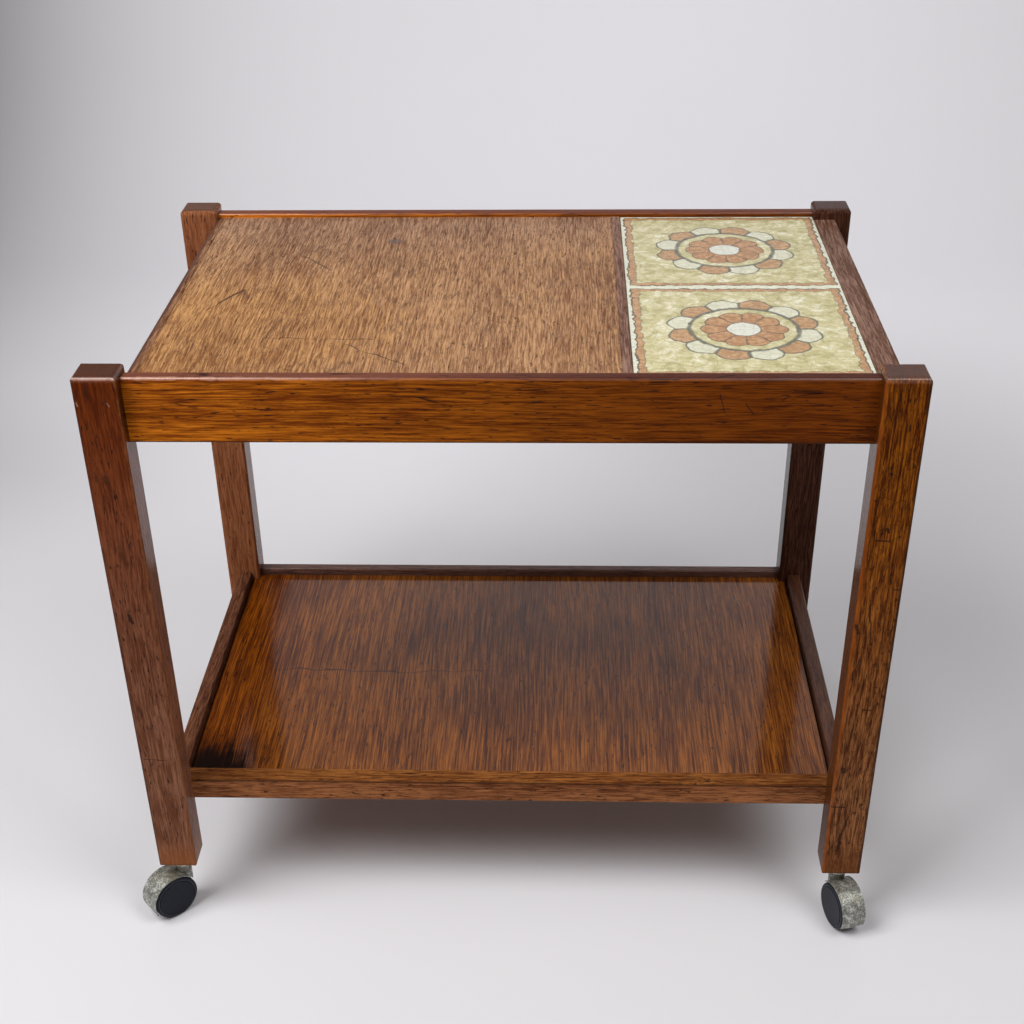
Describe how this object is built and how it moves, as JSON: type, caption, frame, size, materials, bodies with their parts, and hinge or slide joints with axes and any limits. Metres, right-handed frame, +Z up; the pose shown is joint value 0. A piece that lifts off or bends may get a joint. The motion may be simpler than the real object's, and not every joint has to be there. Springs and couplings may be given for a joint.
{
  "type": "tea trolley",
  "caption": "Wooden tea trolley on casters: lipped top with veneered panel and a strip of glazed ceramic tiles, lower shelf, square posts and hooded swivel casters.",
  "frame": {"origin": "on the floor, under the middle of the frame", "axes": "+X to the right of a person at the front, towards the tiled end; +Y from front to back; +Z up"},
  "size_m": [0.7424, 0.5084, 0.596],
  "materials": {
    "post_wood": "red-brown stained hardwood under worn satin lacquer, grain upright",
    "frame_wood": "golden to red-brown stained hardwood under satin lacquer",
    "top_veneer": "light golden-brown veneer, satin lacquer, fine dark pores running front to back",
    "dark_strip": "purple-brown hardwood strip, satin lacquer",
    "shelf_veneer": "dark brown veneer under glossier lacquer",
    "plain_wood": "bare plywood and softwood",
    "tile_glaze": "mottled cream-green crackled glaze with a terracotta border and rosette",
    "bed": "dark cement tile bed and joints",
    "screw_steel": "plain steel wood screws",
    "galvanised": "mottled galvanised sheet steel, dull",
    "stem_steel": "turned steel, dull grey",
    "wheel_black": "black moulded plastic, satin"
  },
  "bodies": {
    "frame": {"post_front_left": "post_wood", "post_front_right": "post_wood", "post_back_left": "post_wood", "post_back_right": "post_wood", "front_apron": "frame_wood", "back_apron": "frame_wood", "left_cross_rail": "frame_wood", "edge_strip": "frame_wood", "shelf_front_lip": "frame_wood", "shelf_back_lip": "frame_wood", "shelf_left_rail": "frame_wood", "shelf_right_rail": "frame_wood", "top_panel": "top_veneer", "divider_strip": "dark_strip", "right_end_rail": "dark_strip", "tile_back": "tile_glaze", "tile_front": "tile_glaze", "tile_bed": "bed", "base_board": "plain_wood", "front_cleat": "plain_wood", "back_cleat": "plain_wood", "middle_bearer": "plain_wood", "corner_blocks": "plain_wood", "shelf_ledgers": "plain_wood", "shelf_dowels": "plain_wood", "board_screws": "screw_steel", "cleat_screws": "screw_steel", "ledger_screws": "screw_steel", "shelf_panel": "shelf_veneer", "socket_front_left": "stem_steel", "socket_front_right": "stem_steel", "socket_back_left": "stem_steel", "socket_back_right": "stem_steel"},
    "caster_front_left": {"stem_front_left": "stem_steel", "hood_front_left": "galvanised", "axle_front_left": "stem_steel"},
    "wheel_a_front_left": {"wheel_a_front_left": "wheel_black"},
    "wheel_b_front_left": {"wheel_b_front_left": "wheel_black"},
    "caster_front_right": {"stem_front_right": "stem_steel", "hood_front_right": "galvanised", "axle_front_right": "stem_steel"},
    "wheel_a_front_right": {"wheel_a_front_right": "wheel_black"},
    "wheel_b_front_right": {"wheel_b_front_right": "wheel_black"},
    "caster_back_left": {"stem_back_left": "stem_steel", "hood_back_left": "galvanised", "axle_back_left": "stem_steel"},
    "wheel_a_back_left": {"wheel_a_back_left": "wheel_black"},
    "wheel_b_back_left": {"wheel_b_back_left": "wheel_black"},
    "caster_back_right": {"stem_back_right": "stem_steel", "hood_back_right": "galvanised", "axle_back_right": "stem_steel"},
    "wheel_a_back_right": {"wheel_a_back_right": "wheel_black"},
    "wheel_b_back_right": {"wheel_b_back_right": "wheel_black"}
  },
  "joints": [
    {"name": "swivel_front_left", "type": "hinge", "parent": "frame", "child": "caster_front_left", "pos_m": [-0.331, -0.209, 0.056], "axis": [0, 0, 1], "continuous": true},
    {"name": "roll_a_front_left", "type": "hinge", "parent": "caster_front_left", "child": "wheel_a_front_left", "pos_m": [-0.34416, -0.22128, 0.0235], "axis": [0.682, -0.7314, 0], "continuous": true},
    {"name": "roll_b_front_left", "type": "hinge", "parent": "caster_front_left", "child": "wheel_b_front_left", "pos_m": [-0.34416, -0.22128, 0.0235], "axis": [0.682, -0.7314, 0], "continuous": true},
    {"name": "swivel_front_right", "type": "hinge", "parent": "frame", "child": "caster_front_right", "pos_m": [0.331, -0.209, 0.056], "axis": [0, 0, 1], "continuous": true},
    {"name": "roll_a_front_right", "type": "hinge", "parent": "caster_front_right", "child": "wheel_a_front_right", "pos_m": [0.33656, -0.22612, 0.0235], "axis": [0.9511, 0.309, 0], "continuous": true},
    {"name": "roll_b_front_right", "type": "hinge", "parent": "caster_front_right", "child": "wheel_b_front_right", "pos_m": [0.33656, -0.22612, 0.0235], "axis": [0.9511, 0.309, 0], "continuous": true},
    {"name": "swivel_back_left", "type": "hinge", "parent": "frame", "child": "caster_back_left", "pos_m": [-0.331, 0.209, 0.056], "axis": [0, 0, 1], "continuous": true},
    {"name": "roll_a_back_left", "type": "hinge", "parent": "caster_back_left", "child": "wheel_a_back_left", "pos_m": [-0.33656, 0.22612, 0.0235], "axis": [-0.9511, -0.309, 0], "continuous": true},
    {"name": "roll_b_back_left", "type": "hinge", "parent": "caster_back_left", "child": "wheel_b_back_left", "pos_m": [-0.33656, 0.22612, 0.0235], "axis": [-0.9511, -0.309, 0], "continuous": true},
    {"name": "swivel_back_right", "type": "hinge", "parent": "frame", "child": "caster_back_right", "pos_m": [0.331, 0.209, 0.056], "axis": [0, 0, 1], "continuous": true},
    {"name": "roll_a_back_right", "type": "hinge", "parent": "caster_back_right", "child": "wheel_a_back_right", "pos_m": [0.34416, 0.22128, 0.0235], "axis": [-0.682, 0.7314, 0], "continuous": true},
    {"name": "roll_b_back_right", "type": "hinge", "parent": "caster_back_right", "child": "wheel_b_back_right", "pos_m": [0.34416, 0.22128, 0.0235], "axis": [-0.682, 0.7314, 0], "continuous": true}
  ]
}
